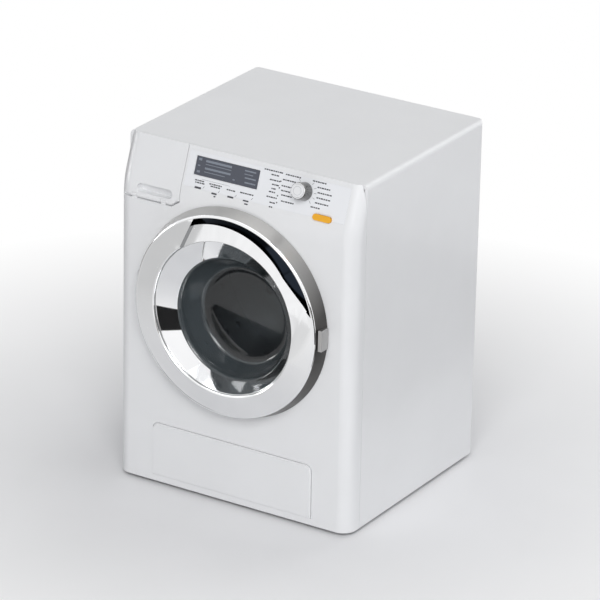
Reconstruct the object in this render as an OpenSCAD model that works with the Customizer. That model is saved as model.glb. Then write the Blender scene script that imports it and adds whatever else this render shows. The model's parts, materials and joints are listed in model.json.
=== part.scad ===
// Toy front-loading washing machine, assembled from separate pieces.
// Millimetres. +X is the machine's right, +Y its back, +Z up.
// The origin is on the floor, under the middle of the overall depth.

/* [Body] */
// Width over the sides
body_w = 186; // [176:1:230]
// Depth of the cabinet without the door
body_d = 166; // [160:1:210]
// Height from the floor to the top
body_h = 248; // [240:1:290]
// Wall of the moulded shells
wall = 2.4; // [2:0.2:3]
// Radius of the upright edges
corner_r = 10; // [8:1:13]
// Radius of the top edges
top_r = 4; // [2:0.5:6]
// Depth of the front cap that carries panel, fascia and drawer
cap_d = 14.5; // [13.5:0.5:18]
// Height of the feet
foot_h = 3; // [2:0.5:5]
// Open line between neighbouring shells
seam = 0.4; // [0.3:0.1:0.6]

/* [Fascia] */
// Height of the upper zone with fascia and drawer
fascia_h = 42; // [40:1:48]
// Backward lean of the fascia
lean = 20.3; // [10:0.1:21]
// Radius that blends the lean into the upright front
lean_r = 50; // [30:1:60]
// Width of the detergent drawer
drawer_w = 49.2; // [44:0.2:56]
// Width of the display
display_w = 49.3; // [40:0.1:56]
// Height of the display along the slope
display_h = 12.6; // [9:0.1:15]
// Display centre from the middle of the machine
display_x = -11.6; // [-14:0.1:-8]
// Knob centre from the middle of the machine
knob_x = 48.9; // [44:0.1:60]
// Knob width at its foot
knob_d = 12.5; // [10:0.1:16]
// Knob height
knob_h = 9.2; // [6:0.1:12]
// Start button centre from the middle of the machine
start_x = 66; // [62:0.1:72]
// Length of the start button
start_w = 14; // [10:0.1:16]
// Travel of the start button
start_travel = 1; // [0.6:0.1:1.4]

/* [Door] */
// Height of the door axis above the floor
door_z = 142; // [138:1:150]
// Outer radius of the door ring at its foot
ring_r = 74; // [68:0.5:76]
// Outer radius of the door ring at its front
rim_r = 71; // [66:0.5:72]
// Radius of the ring's inner edge
eye_r = 54; // [50:0.5:56]
// Height of the ring's outer wall
rim_h = 11.5; // [10:0.5:14]
// Height of the ring at its inner edge
door_proj = 14.5; // [13:0.5:17]
// Radius of the bowl's rim
bowl_r = 43.5; // [40:0.5:45]
// Radius of the bowl's flat bottom
bowl_bottom_r = 29; // [24:0.5:32]
// Depth of the bowl behind the front panel
bowl_depth = 17; // [12:0.5:19]
// Drop of the bowl's rim below the ring's middle
bowl_drop = 4.8; // [3:0.1:6]
// Further drop of the bowl's bottom
bottom_drop = 2.7; // [0:0.1:4]
// Depth of the crescent grip recess
grip_depth = 7; // [4:0.5:8]

/* [Drum] */
// Outer radius of the drum
drum_r = 70; // [62:0.5:71]
// Depth of the drum
drum_len = 86; // [70:1:88]
// Radius of the water tub
tub_r = 76; // [74.5:0.5:77]
// Number of hole rows round the drum
hole_rows = 15; // [9:3:18]
// Shaft radius
shaft_r = 3; // [2.5:0.1:3.5]

/* [Gears] */
// Tooth module
gear_m = 1; // [0.9:0.05:1.05]
// Teeth of the drum gear
drum_teeth = 60; // [54:1:62]
// Teeth of the idler's small wheel
idler_small_teeth = 12; // [11:1:13]
// Teeth of the idler's large wheel
idler_large_teeth = 40; // [36:1:42]
// Teeth of the motor pinion
pinion_teeth = 10; // [10:1:12]
// Width of the gear faces
gear_w = 6; // [4:0.5:6.5]

/* [Drain] */
// Height of the drain pipe's pivot
drain_z = 58; // [50:1:60]
// Length of the drain pipe from its pivot
drain_len = 130; // [110:1:140]
// Outer radius of the drain pipe
drain_r = 5.5; // [4.5:0.1:6]

/* [Hidden] */
$fn = 96;
eps = 0.01;
slice_h = 0.02;
blend_steps = 6;

// Shared places
front_y = door_proj - (body_d + door_proj) / 2;
back_y = front_y + body_d;
half_w = body_w / 2;
rear_r = 6;
seam_z = body_h - fascia_h;
arc_rise = lean_r * sin(lean);
arc_back = lean_r * (1 - cos(lean));
slope_z = seam_z + arc_rise;
slope_len = (body_h - slope_z) / cos(lean);
mid_v = slope_len * 0.535;
drawer_x = -half_w + drawer_w;
collar_r = ring_r + 7.3;
sleeve_h = 4;
start_h = 4.2;
start_v = -0.3;

// Drum axis and its stations behind the front panel
drum_z = door_z - bowl_drop;
eye_hole_r = bowl_r + 8.5;
tub_front = front_y + 10;
drum_front = front_y + 14;
drum_back = drum_front + drum_len;
tub_back = drum_back + 4;
boss_back = tub_back + 10;
gear1_y = boss_back + 7;
gear2_y = gear1_y + gear_w + 6;
plate_y = gear2_y + gear_w + 2;
idler_turn = -60;
motor_turn = -30;
idler_gap = gear_m * (drum_teeth + idler_small_teeth) / 2 + 0.1;
motor_gap = gear_m * (idler_large_teeth + pinion_teeth) / 2 + 0.1;
idler_x = idler_gap * cos(idler_turn);
idler_z = drum_z + idler_gap * sin(idler_turn);
motor_x = idler_x + motor_gap * cos(motor_turn);
motor_z = idler_z + motor_gap * sin(motor_turn);
motor_r = 10;
motor_len = 25;
run_gap = 0.05;

// Hinges
hinge_x = -ring_r + 2.8;
hinge_y = front_y - 3.4;
knuckle_r = 2.8;
knuckle_h = 16;
lug_h = 6;
pin_r = 1.5;
lip_r = 2;
drawer_hinge_y = front_y + lip_r;
drawer_hinge_z = seam_z + seam + lip_r;
cup_r = body_h - wall - drawer_hinge_z - 1;
drawer_swing = 35;
lug_places = [[-half_w + 13, 3.5], [-half_w + 36, 3.5]];

// Drain slot in the rear panel
slot_w = 2 * drain_r + 8;
slot_d = 2 * drain_r + 8;
slot_wall = 2;
journal_r = 4;
hose_x = -40;
hose_r = 5.6;
drain_y = back_y - max(2 * drain_r, 2 * wall + hose_r + 0.6);

// Battery bay in the base
cell_r = 7.1;
cell_len = 50;
bay_w = 4 * 2 * cell_r + 5;
bay_d = cell_len + 8;
bay_y = back_y - bay_d - 22;
bay_h = 2 * cell_r + 5;

// ---------- shared shapes ----------

// Y of the front face at height z, t behind the outer surface
function front_at(z, t) =
    z <= seam_z ? front_y + t :
    z <= seam_z + (lean_r - t) * sin(lean) ? front_y + lean_r - sqrt(pow(lean_r - t, 2)
        - pow(z - seam_z, 2)) :
    front_y + arc_back + t / cos(lean) + (z - slope_z) * tan(lean);

// Plan outline of the cabinet, inset by t
module plan(t) {
    rf = corner_r - t;
    rr = max(rear_r - t, 1);
    x = half_w - t;
    y0 = front_y + t;
    y1 = back_y - t;
    translate([-x, y0 + rf]) square([2 * x, y1 - rr - y0 - rf]);
    translate([-x + rf, y0]) square([2 * (x - rf), rf + eps]);
    translate([-x + rr, y1 - rr - eps]) square([2 * (x - rr), rr + eps]);
    for (s = [-1, 1]) {
        translate([s * (x - rf), y0 + rf]) circle(r = rf);
        translate([s * (x - rr), y1 - rr]) circle(r = rr);
    }
}

// Front view outline with rounded top corners, inset by t
module front_outline(t, z0) {
    r = max(top_r - t, 0.8);
    x = half_w - t;
    z1 = body_h - t;
    translate([-x, z0]) square([2 * x, z1 - r - z0]);
    translate([-x + r, z0]) square([2 * (x - r), z1 - z0]);
    for (s = [-1, 1]) translate([s * (x - r), z1 - r]) circle(r = r);
}

// Upright cabinet volume between z0 and the top
module cabinet(t, z0) {
    intersection() {
        translate([0, 0, z0]) linear_extrude(height = body_h - t - z0) plan(t);
        seen_from_front(t, z0);
    }
}

module seen_from_front(t, z0) {
    translate([0, back_y + 1, 0]) rotate([90, 0, 0]) linear_extrude(height = body_d + 2)
        front_outline(t, z0);
}

// Volume of the front cap: upright slices, then slices that follow the blend and the lean
module cap_volume(t, z0) {
    r = lean_r - t;
    intersection() {
        hull() {
            cap_slice(t, front_y + t, z0);
            for (i = [0:blend_steps]) let (a = lean * i / blend_steps)
                cap_slice(t, front_y + lean_r - r * cos(a), seam_z + r * sin(a));
            cap_slice(t, front_at(body_h, t), body_h);
        }
        seen_from_front(t, z0);
    }
}

// Thin slice of the plan with its front at y
module cap_slice(t, y, z) {
    translate([0, y - front_y - t, z]) linear_extrude(height = slice_h) intersection() {
        plan(t, $fn = 48);
        translate([-half_w, front_y]) square([body_w, cap_d + 8]);
    }
}

// Front cap shell, cut at the line where the housing starts
module cap_shell(z0) {
    intersection() {
        difference() {
            cap_volume(0, z0);
            cap_volume(wall, z0 - 1);
        }
        translate([-half_w - 1, front_y - 1, 0]) cube([body_w + 2, cap_d + 1 - seam, body_h + 1]);
    }
}

// Turns a drawing so that its up axis runs towards the back, at depth y
module facing(x, y, z) { translate([x, y, z]) rotate([-90, 0, 0]) children(); }

// Lays a drawing on the fascia: X across, Y up the slope, Z out of it
module on_fascia(x, v) {
    translate([x, front_y + arc_back + v * sin(lean), slope_z + v * cos(lean)])
        rotate([90 - lean, 0, 0]) children();
}

module stadium(w, h) {
    square([w - h, h], center = true);
    for (s = [-1, 1]) translate([s * (w - h) / 2, 0]) circle(d = h);
}

module ring(r_out, r_in, h) {
    difference() {
        cylinder(r = r_out, h = h);
        translate([0, 0, -1]) cylinder(r = r_in, h = h + 2);
    }
}

// ---------- cabinet ----------

module housing() {
    color([0.93, 0.93, 0.94])
    difference() {
        cabinet(0, foot_h);
        cabinet(wall, foot_h - 1);
        translate([-half_w - 1, front_y - 1, 0]) cube([body_w + 2, cap_d + 1, body_h + 1]);
        // rear opening with a rim all round
        translate([-half_w + 8, back_y - wall - 1, foot_h + 8])
            cube([body_w - 16, wall + 2, body_h - foot_h - 16]);
    }
    color([0.93, 0.93, 0.94]) screw_bosses();
}

screw_places = [[-1, foot_h + 14], [1, foot_h + 14], [-1, body_h - 15], [1, body_h - 15]];
screw_x = half_w - 13;

// Four posts behind the rear panel, tied to the side walls
module screw_bosses() {
    for (p = screw_places) {
        difference() {
            union() {
                facing(p[0] * screw_x, back_y - 2 * wall - 22, p[1]) cylinder(r = 4, h = 22 - seam);
                translate([p[0] > 0 ? screw_x : -half_w + wall - eps, back_y - 2 * wall - 20, p[1] - 1])
                    cube([half_w - screw_x - wall + eps, 18, 2]);
            }
            facing(p[0] * screw_x, back_y - 2 * wall - 12, p[1]) cylinder(r = 1.5, h = 20);
        }
    }
}

module front_panel() {
    color([0.94, 0.94, 0.95])
    difference() {
        union() {
            difference() {
                cap_shell(foot_h);
                drawer_space(0);
            }
            // collar that the tub's neck slips over
            facing(0, front_y + wall - eps, drum_z) ring(eye_hole_r + 2, eye_hole_r, 5);
            drawer_lugs();
            // guide sleeves behind the knob and the start button
            on_fascia(knob_x, mid_v) translate([0, 0, -wall - 6]) cylinder(r = 4.2, h = 6.8);
            on_fascia(start_x, start_v) translate([0, 0, -wall - sleeve_h])
                linear_extrude(height = sleeve_h + 0.6)
                stadium(start_w + 3, start_h + 3);
        }
        facing(0, front_y - 1, drum_z) cylinder(r = eye_hole_r, h = 20);
        latch_slot();
        for (s = [-1, 1]) hinge_slot(s, 0.2);
        plinth_rebate();
        on_fascia(display_x, mid_v) translate([-display_w / 2 - 0.1, -display_h / 2 - 0.1, -1])
            cube([display_w + 0.2, display_h + 0.2, 3]);
        on_fascia(knob_x, mid_v) translate([0, 0, -20]) cylinder(r = 2 + run_gap, h = 30);
        on_fascia(start_x, start_v) translate([0, 0, -20]) linear_extrude(height = 30)
            stadium(start_w + 0.3, start_h + 0.3);
    }
}

// Upper left corner that the detergent drawer fills, grown by gap
module drawer_space(gap) {
    difference() {
        translate([-half_w - 1, front_y - 1, seam_z - gap])
            cube([drawer_w + 1 + gap, cap_d + 2, body_h]);
        facing(0, front_y - 2, door_z) cylinder(r = collar_r - gap, h = cap_d + 4);
    }
}

// Lugs that hold the drawer's hinge pin
module drawer_lugs() {
    for (p = lug_places) difference() {
        union() {
            translate([p[0] - p[1] / 2, drawer_hinge_y, drawer_hinge_z]) rotate([0, 90, 0])
                cylinder(r = lip_r, h = p[1]);
            translate([p[0] - p[1] / 2, front_y + wall - eps, seam_z - 10]) cube([p[1], 1.6, 12.4]);
            translate([p[0] - p[1] / 2, front_y + 0.6, seam_z - 0.6]) cube([p[1], 2.4, 2.6]);
        }
        translate([p[0] - p[1], drawer_hinge_y, drawer_hinge_z]) rotate([0, 90, 0])
            cylinder(r = 1.02, h = 2 * p[1]);
    }
}

module latch_slot() { translate([56, front_y - 1, door_z - 6]) cube([7, wall + 2, 12]); }

// Passage of one hinge lug through the front panel
module hinge_slot(s, gap) {
    translate([hinge_x - knuckle_r - gap, front_y - 1, door_z + s * (knuckle_h / 2 + 0.4 + lug_h / 2)
               - lug_h / 2 - gap]) cube([2 * knuckle_r + 2 * gap, wall + 2, lug_h + 2 * gap]);
}

plinth_w = 127;
plinth_top = 46.4;
plinth_low = foot_h + 5;

module plinth_shape(w, h, r) {
    translate([-w / 2, 0]) square([w, h - r]);
    translate([-w / 2 + r, h - r - eps]) square([w - 2 * r, r + eps]);
    for (s = [-1, 1]) translate([s * (w / 2 - r), h - r]) circle(r = r);
}

// Shallow seat for the plinth in the front panel
module plinth_rebate() {
    translate([0, front_y + 1.2, plinth_low - seam]) rotate([90, 0, 0]) linear_extrude(height = 3)
        plinth_shape(plinth_w + 2 * seam, plinth_top - plinth_low + 2 * seam, 5);
}

module plinth_panel() {
    color([0.9, 0.9, 0.91])
    translate([0, front_y + 1.2, plinth_low]) rotate([90, 0, 0]) {
        linear_extrude(height = 1.8) plinth_shape(plinth_w, plinth_top - plinth_low, 5);
        translate([0, 1, 0]) linear_extrude(height = 2.2)
            plinth_shape(plinth_w - 2, plinth_top - plinth_low - 2, 4);
    }
}

module rear_panel() {
    color([0.92, 0.92, 0.93])
    difference() {
        union() {
            difference() {
                intersection() {
                    cabinet(wall + 0.3, foot_h + wall);
                    translate([-half_w, back_y - 2 * wall, 0]) cube([body_w, wall - 0.1, body_h]);
                }
                slot_hollow(eps);
            }
            difference() {
                translate([-slot_w / 2 - slot_wall, back_y - slot_d - slot_wall, slot_low() - slot_wall])
                    cube([slot_w + 2 * slot_wall, slot_d + slot_wall - wall - 0.1,
                          slot_high() - slot_low() + 2 * slot_wall]);
                slot_hollow(0);
            }
        }
        for (p = screw_places) facing(p[0] * screw_x, back_y - 3 * wall, p[1]) cylinder(r = 1.8, h = 20);
        // journal holes of the drain pipe's pivot
        translate([-slot_w, drain_y, drain_z]) rotate([0, 90, 0])
            cylinder(r = journal_r + run_gap, h = 2 * slot_w);
        speaker_grille();
        // row of round holes in the floor of the channel
        for (i = [1:channel_holes]) facing(0, back_y - slot_d - slot_wall - 1,
            slot_low() + 14 + (slot_high() - slot_low() - 14) * i / (channel_holes + 1))
                cylinder(r = 2.4, h = slot_wall + 2);
    }
}

channel_holes = 6;

function slot_low() = drain_z - drain_r - 6;
function slot_high() = drain_z + drain_len + 5;

module slot_hollow(extra) {
    translate([-slot_w / 2 - extra, back_y - slot_d - extra, slot_low()])
        cube([slot_w + 2 * extra, slot_d + 5, slot_high() - slot_low()]);
}

speaker_x = -54;
speaker_z = 190;

// Hexagonal field of round holes in front of the speaker
module speaker_grille() {
    for (i = [-2:2], j = [-2:2])
        if (abs(i + j) < 3)
            facing(speaker_x + (i + j / 2) * 5.4, back_y - 3 * wall, speaker_z + j * 4.7)
                cylinder(r = 1.3, h = 20, $fn = 24);
}

module speaker() {
    color([0.2, 0.2, 0.22])
    facing(speaker_x, 0, speaker_z) {
        translate([0, 0, back_y - 2 * wall - 12]) ring(20, 17.5, 12 - 0.3);
        translate([0, 0, back_y - 2 * wall - 12 - 5]) cylinder(r = 10, h = 5);
        translate([0, 0, back_y - 2 * wall - 12]) cylinder(r1 = 8, r2 = 17.6, h = 8);
    }
}

module base_plate() {
    color([0.85, 0.85, 0.86])
    difference() {
        union() {
            translate([0, 0, foot_h + wall]) linear_extrude(height = wall) intersection() {
                plan(wall + 0.3);
                translate([-half_w, front_y + wall + 0.3])
                    square([body_w, body_d - 3 * wall - 0.9]);
            }
            // stem sockets of the feet
            for (x = foot_x(), y = foot_y()) translate([x, y, foot_h]) cylinder(r = 6, h = wall + eps);
        }
        translate([-bay_w / 2, bay_y, 0]) cube([bay_w, bay_d, 30]);
        for (x = foot_x(), y = foot_y()) translate([x, y, 0]) cylinder(r = 2.02, h = foot_h + wall + 1);
    }
}

function foot_x() = [-half_w + 16, half_w - 16];
function foot_y() = [front_y + 18, back_y - 18];

module feet() {
    color([0.25, 0.25, 0.27])
    for (x = foot_x(), y = foot_y()) translate([x, y, 0]) {
        cylinder(r1 = 7, r2 = 8, h = foot_h);
        cylinder(r = 2, h = foot_h + wall);
    }
}

module rear_screws() {
    color([0.7, 0.7, 0.72])
    for (p = screw_places) difference() {
        facing(p[0] * screw_x, back_y - 2 * wall - 11, p[1]) {
            cylinder(r = 1.46, h = 11 + wall);
            translate([0, 0, 11 + wall]) cylinder(r1 = 3.2, r2 = 2.2, h = 1.6);
        }
        for (a = [0, 90]) translate([p[0] * screw_x, back_y - wall + 1.6, p[1]]) rotate([0, a, 0])
            cube([3, 1.6, 0.7], center = true);
    }
}

// ---------- controls ----------

label_x0 = drawer_x + 1.6;
label_x1 = half_w - 10;

module control_label() {
    color([0.97, 0.97, 0.98])
    difference() {
        on_fascia(0, 0) translate([label_x0, -1, 0.03]) cube([label_x1 - label_x0, slope_len - 2, 0.2]);
        on_fascia(display_x, mid_v) cube([display_w + 0.4, display_h + 0.4, 4], center = true);
        on_fascia(knob_x, mid_v) cylinder(r = 2.6, h = 4, center = true);
        on_fascia(start_x, start_v) linear_extrude(height = 4, center = true)
            stadium(start_w + 1, start_h + 1);
    }
}

module display_window() {
    color([0.3, 0.33, 0.4])
    on_fascia(display_x, mid_v) translate([-display_w / 2, -display_h / 2, -1])
        cube([display_w, display_h, 1.2]);
}

module knob_body() {
    color([0.72, 0.72, 0.72])
    on_fascia(knob_x, mid_v) translate([0, 0, 0.6]) rotate_extrude() polygon(concat(
        [[2.02, 0], [knob_d / 2, 0]],
        [for (a = [0:15:90]) [knob_d / 2 - 1 - 0.5 + 0.9 * cos(a), knob_h - 1.5 + 0.9 * sin(a)]],
        [[4.4, knob_h - 0.6], [4.4, knob_h - 1.8], [2.02, knob_h - 1.8]]));
}

module knob_cap() {
    color([0.97, 0.97, 0.97])
    on_fascia(knob_x, mid_v) translate([0, 0, 0.6 + knob_h - 1.8]) difference() {
        rotate_extrude() polygon([[0, 0], [4.35, 0], [4.35, 1.5], [4.05, 1.8], [0, 1.8]]);
        translate([2.6, 0, 1.4]) cylinder(r = 0.7, h = 2, $fn = 32);
    }
}

module knob_shaft() {
    color([0.6, 0.6, 0.62])
    on_fascia(knob_x, mid_v) translate([0, 0, -12.8]) cylinder(r = 2, h = 12.8 + 0.6 + knob_h - 1.8);
}

detent_points = 16;

module detent_wheel() {
    color([0.85, 0.8, 0.6])
    on_fascia(knob_x, mid_v) translate([0, 0, -12.4]) difference() {
        cylinder(r = 7, h = 3.4);
        for (i = [0:detent_points - 1]) rotate(i * 360 / detent_points) translate([7.3, 0, -1])
            cylinder(r = 0.8, h = 6, $fn = 24);
        translate([0, 0, -1]) cylinder(r = 2.01, h = 6);
    }
}

// Leaf that clicks from notch to notch
module detent_spring() {
    color([0.75, 0.75, 0.78])
    on_fascia(knob_x, mid_v) translate([7.5, 0, -12.4]) {
        translate([0, -5, 0]) cube([0.5, 10, 3.4]);
        translate([0, -6, -1.1]) cube([0.5, 2, 4.5]);
        translate([0, 4, -1.1]) cube([0.5, 2, 4.5]);
    }
}

module start_button() {
    color([0.96, 0.62, 0.08])
    on_fascia(start_x, start_v) {
        translate([0, 0, -wall - sleeve_h - 1]) linear_extrude(height = wall + sleeve_h + 2.4)
            stadium(start_w, start_h);
        translate([0, 0, -wall - sleeve_h - 1.3]) linear_extrude(height = 1.2)
            stadium(start_w + 2.4, start_h + 2.4);
        translate([0, 0, -wall - 8]) cylinder(r = 1.2, h = 4);
    }
}

board_w = -13.5;

module start_switch() {
    color([0.15, 0.15, 0.16])
    on_fascia(start_x, start_v) translate([0, 0, board_w]) {
        translate([-3, -3, 0]) cube([6, 6, 1.2]);
        cylinder(r = 1.6, h = -wall - 8 - board_w - start_travel - 0.3);
    }
}

board_x0 = display_x - display_w / 2 - 2;
board_x1 = half_w - 12;

module circuit_board() {
    color([0.1, 0.4, 0.2])
    difference() {
        on_fascia(0, 0) {
            translate([board_x0, -3.5, board_w - 1.6]) cube([board_x1 - board_x0, slope_len - 1.5, 1.6]);
            translate([display_x - 8, mid_v - 6, board_w]) cube([16, 10, 2]);
            for (i = [0:3]) translate([display_x + 14 + 5 * i, mid_v - 3, board_w]) cube([3, 6, 1.2]);
        }
        for (x = post_x()) on_fascia(x, mid_v + 7) translate([0, 0, -40]) cylinder(r = 1.26, h = 60);
    }
}

function post_x() = [board_x0 + 4, knob_x - 14, board_x1 - 4];

// Pins that carry the board behind the fascia
module board_posts() {
    color([0.95, 0.95, 0.96])
    for (x = post_x()) on_fascia(x, mid_v + 7) {
        translate([0, 0, board_w]) cylinder(r = 2.4, h = -wall - board_w - 0.05);
        translate([0, 0, board_w - 3]) cylinder(r = 1.25, h = 3 + eps);
    }
}

// ---------- detergent drawer ----------

module drawer_front() {
    color([0.95, 0.95, 0.96])
    difference() {
        union() {
            intersection() {
                cap_shell(foot_h);
                drawer_space(-seam);
                union() {
                    translate([-half_w, front_y - 1, drawer_hinge_z]) cube([body_w, cap_d + 2, body_h]);
                    drawer_lip(0);
                    translate([-half_w, front_y + lip_r, drawer_hinge_z - lip_r])
                        cube([drawer_w, cap_d, lip_r + 1]);
                }
            }
            drawer_lip(wall - lip_r);
            // shallow tray behind the finger recess
            translate([pull_x0 - 1.6, front_y + 1.8, drawer_hinge_z + 1.2]) cube([pull_w + 3.2, 5.4, 8.8]);
        }
        finger_pull();
        // relief that lets the lower right corner swing past the front panel
        translate([0, drawer_hinge_y, drawer_hinge_z]) rotate([-drawer_swing, 0, 0])
            facing(0, -3, door_z - drawer_hinge_z) cylinder(r = collar_r + seam, h = 8);
        for (p = lug_places) {
            translate([p[0] - p[1] / 2 - 0.25, drawer_hinge_y, drawer_hinge_z]) rotate([0, 90, 0])
                cylinder(r = lip_r + 0.35, h = p[1] + 0.5);
            translate([p[0] - p[1] / 2 - 0.25, front_y - 1, drawer_hinge_z - lip_r - 1])
                cube([p[1] + 0.5, 8, lip_r + 1]);
        }
        translate([lug_places[0][0] - 3, drawer_hinge_y, drawer_hinge_z]) rotate([0, 90, 0])
            cylinder(r = 1.06, h = lug_places[1][0] - lug_places[0][0] + 6);
    }
}

// Round lower edge, centred on the hinge pin
module drawer_lip(extra) {
    translate([-half_w + corner_r, drawer_hinge_y, drawer_hinge_z]) rotate([0, 90, 0])
        cylinder(r = lip_r, h = drawer_w - corner_r - seam / 2 - 6);
}

pull_x0 = -77.5;
pull_w = 27;

// Scoop for the finger at the drawer's lower edge
module finger_pull() {
    translate([pull_x0 + 2.5, front_y - 1, drawer_hinge_z + 5.4]) rotate([-90, 0, 0])
        linear_extrude(height = 6.6) translate([0, -3.2]) {
            square([pull_w - 5, 6.2]);
            for (x = [0, pull_w - 5]) translate([x, 3.1]) circle(r = 3.1);
        }
}

cup_x0 = -half_w + 9.6;
cup_x1 = drawer_x - 2.4;
cup_low = drawer_hinge_z + 2.6;
cup_front = front_y + 7.4;
tray_top = drawer_hinge_z + 12.8;
cup_steps = 6;

// Side view of the hopper: its front passes behind the finger tray and then follows the drawer
// front, its back is an arc about the hinge
module cup_section(t) {
    top = body_h - wall - 4;
    low = tray_top + 0.2 + t;
    intersection() {
        polygon(concat(
            [[cup_front + t, cup_low + t], [cup_front + t, low]],
            [for (i = [0:cup_steps]) let (z = low + (top - low) * i / cup_steps)
                [front_at(z, wall) + 0.08 + t, z]],
            [[front_y + 60, top], [front_y + 60, cup_low + t]]));
        translate([drawer_hinge_y, drawer_hinge_z]) circle(r = cup_r - t);
    }
}

// Hopper behind the drawer front
module drawer_cup() {
    color([0.9, 0.9, 0.91])
    difference() {
        across(cup_x0, cup_x1) cup_section(0);
        across(cup_x0 + 1.6, cup_x1 - 1.6) {
            cup_section(1.6);
            translate([front_y + 16, cup_low + 12]) square([cup_r, cup_r]);
        }
        // outlet over the funnel
        translate([funnel_x, funnel_y, 0]) cylinder(r = 4, h = body_h - 20);
    }
}

// Extrudes a side view drawn with Y and Z between two places on X
module across(x0, x1) {
    translate([x0, 0, 0]) rotate([90, 0, 90]) linear_extrude(height = x1 - x0) children();
}

module drawer_pin() {
    color([0.75, 0.75, 0.77])
    translate([lug_places[0][0] - 1.75, drawer_hinge_y, drawer_hinge_z]) rotate([0, 90, 0])
        cylinder(r = 1, h = lug_places[1][0] - lug_places[0][0] + 3.5);
}

funnel_x = (cup_x0 + cup_x1) / 2;
funnel_y = front_y + 24;
funnel_top = drawer_hinge_z - 3;

// Funnel that leads the water from the hopper into the tub
module drawer_funnel() {
    spout_low = drum_z + sqrt(pow(tub_r, 2) - pow(funnel_x, 2)) + 1;
    color([0.8, 0.82, 0.84])
    translate([funnel_x, funnel_y, 0]) rotate_extrude() polygon([
        [4, spout_low], [4, funnel_top - 9], [12, funnel_top], [13.6, funnel_top],
        [5.6, funnel_top - 10.4], [5.6, spout_low]]);
}

// ---------- door ----------

// The door is drawn about its own axis, Z towards the back, then set in place
module at_door() { facing(0, front_y, door_z) children(); }

ring_wall = 2;
ring_foot = -0.4;
bowl_seat = -1.5;
edge_r = 1.6;
// line across the face that ends grip and band on the left, with its turn, fall and slant
crease_x = -24.6;
crease_y = 5.3 - rim_r;
crease_turn = 22.6;
crease_fall = -8.1;
crease_slant = 52;
// inner side of the grip: a circle, then a chord from chord_at on
grip_in = [-3.3, -4.4];
grip_in_r = eye_r + 5.8;
chord_at = grip_in + grip_in_r * [cos(35.8), -sin(35.8)];
chord_turn = 46.4;
// drop of the band below the face, and the plane where it runs out
band_drop = 1.9;
runout_y = -8;
runout_tilt = -5.5;
face_rise = (door_proj - rim_h) / (rim_r - eye_r - 2 * edge_r);

function arc_points(cx, cy, r, a0, a1, n) =
    [for (i = [0:n]) let (a = a0 + (a1 - a0) * i / n) [cx + r * cos(a), cy + r * sin(a)]];

// Half section of the chrome ring: outer wall, rounded rim, face and inner edge
module ring_section() {
    polygon(concat(
        [[ring_r, ring_foot]],
        arc_points(rim_r - edge_r + 0.1, -rim_h + edge_r, edge_r, -8, -100, 6),
        arc_points(eye_r + edge_r, -door_proj + edge_r, edge_r, -100, -200, 6),
        [[eye_r + edge_r + 1.6, -door_proj + edge_r + 2.4],
         [rim_r - edge_r - ring_wall, -rim_h + edge_r + ring_wall],
         [ring_r - ring_wall - 0.6, -2.6],
         [ring_r - ring_wall, ring_foot]]));
}

module door_ring() {
    color([0.85, 0.86, 0.88])
    at_door() difference() {
        union() {
            rotate_extrude() ring_section();
            // pocket body under the grip recess
            intersection() {
                translate([0, 0, -rim_h + 0.6]) cylinder(r = ring_r - 1.6, h = rim_h - 3.2);
                translate([0, 0, -rim_h - 1]) linear_extrude(height = grip_depth + 2.6) grip_outline(1.4);
            }
        }
        translate([0, 0, -door_proj - 1])
            linear_extrude(height = door_proj - rim_h + 1 + grip_depth) grip_outline(0);
        band_cut();
        hinge_notch();
    }
}

// Inner funnel from the ring's inner edge down to the lower-set rim of the bowl
module door_funnel() {
    color([0.85, 0.86, 0.88])
    at_door() difference() {
        funnel_space(0, 0, 1.9);
        funnel_space(eps, -0.5, 0);
    }
}

// Cone between the ring and the bowl, longer by over at both ends
module funnel_space(over, front_grow, back_grow) {
    hull() {
        translate([0, 0, -door_proj + edge_r + 0.4 - over])
            cylinder(r = eye_r + front_grow, h = eps, $fn = 64);
        translate([0, bowl_drop, bowl_seat - eps + over])
            cylinder(r = bowl_r + back_grow, h = eps, $fn = 64);
    }
}

// Outline of the grip recess: between the ring's rim, a smaller circle and a chord at the
// lower right, and closed on the left; Y points down here
module grip_outline(grow) {
    difference() {
        circle(r = rim_r - 1.6 + grow * 0.3);
        translate(grip_in) circle(r = grip_in_r - grow);
        translate(chord_at) rotate(chord_turn) translate([-4, grow]) square([94, 140]);
        translate([crease_x, crease_y]) rotate(crease_turn) translate([-150, -100])
            square([150 - grow, 250]);
    }
}

// Takes the face down to a lower band between the grip and the inner edge; it ends at a
// slanted wall on the left and runs out at the lower right
module band_cut() {
    intersection() {
        rotate_extrude() polygon([[eye_r - 2, -door_proj - 1], [rim_r - 4, -door_proj - 1],
            [rim_r - 4, -door_proj + band_drop + face_rise * (rim_r - 4 - eye_r - edge_r)],
            [eye_r - 2, -door_proj + band_drop - face_rise * (2 + edge_r)]]);
        translate([crease_x, crease_y, -rim_h + 0.2]) rotate([0, 0, crease_turn])
            rotate([crease_fall, 0, 0]) rotate([0, crease_slant, 0])
            translate([0, -150, -150]) cube([200, 300, 300]);
        translate([0, runout_y, -rim_h - 0.5]) rotate([runout_tilt, 0, 0])
            translate([-ring_r - 20, -ring_r - 20, -30]) cube([2 * ring_r + 40, 2 * ring_r + 60, 30]);
    }
}

// Room for the hinge knuckles in the ring's left wall
module hinge_notch() {
    translate([hinge_x - 6, -knuckle_h / 2 - lug_h - 1.2, -7.8])
        cube([6 + knuckle_r + 0.6, knuckle_h + 2 * lug_h + 2.4, 10]);
}

// Smoked bowl with a flange, a slanted wall and a flat bottom
module door_bowl() {
    color([0.2, 0.22, 0.24, 0.7])
    at_door() difference() {
        union() {
            translate([0, bowl_drop, bowl_seat + 0.1]) cylinder(r = bowl_r + 2.4, h = 1.4);
            bowl_space(1.5);
        }
        bowl_space(0);
    }
}

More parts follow.
